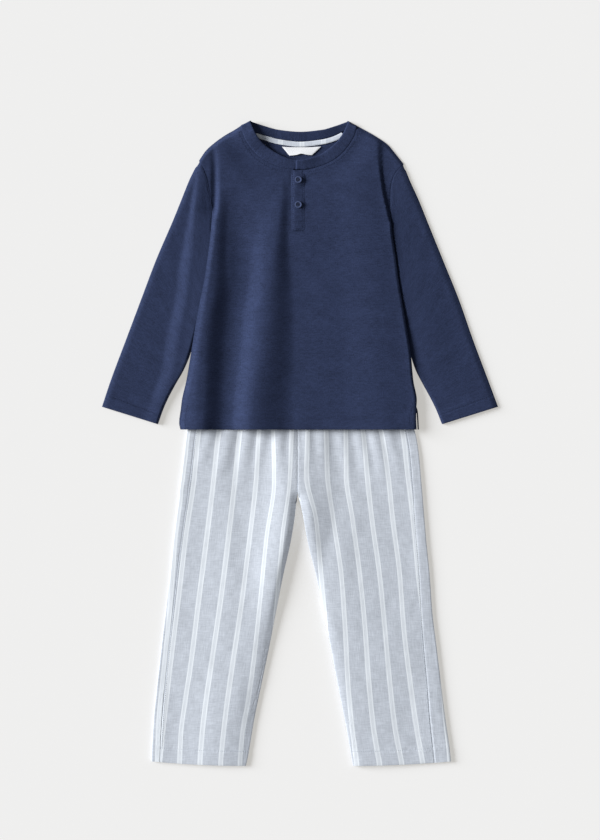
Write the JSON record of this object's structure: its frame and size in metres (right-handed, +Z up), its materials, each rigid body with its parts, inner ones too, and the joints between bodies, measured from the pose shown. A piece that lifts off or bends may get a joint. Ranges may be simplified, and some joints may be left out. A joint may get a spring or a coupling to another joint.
{
  "type": "pyjama set",
  "caption": "Child's pyjama set laid flat: navy henley top with long sleeves, lapped neckband and button placket, over striped trousers with an elastic waist.",
  "frame": {"origin": "on the surface that the set lies on, under the middle of its box", "axes": "+Z up from the surface, +Y from the trouser hems to the neck, +X to the right as seen from above"},
  "size_m": [0.6336, 1.032, 0.0175],
  "materials": {
    "navy_jersey": "fine cotton jersey, matt, solid navy",
    "striped_chambray": "plain-weave cotton chambray in light blue-grey with white lengthwise stripes",
    "striped_tape": "plain-weave cotton tape, light blue with white stripes across",
    "white_label": "white woven satin label, bare",
    "navy_button": "navy moulded plastic, semi-matt, four holes"
  },
  "bodies": {
    "root": {"top_front": "navy_jersey", "top_back": "navy_jersey", "top_sleeve_left": "navy_jersey", "top_sleeve_right": "navy_jersey", "top_neckband": "navy_jersey", "top_placket_under": "navy_jersey", "top_placket_over": "navy_jersey", "top_neck_tape": "striped_tape", "top_neck_label": "white_label", "top_button_upper": "navy_button", "top_button_lower": "navy_button", "trouser_front_left": "striped_chambray", "trouser_front_right": "striped_chambray", "trouser_back_left": "striped_chambray", "trouser_back_right": "striped_chambray", "trouser_waistband": "striped_chambray"}
  },
  "joints": []
}
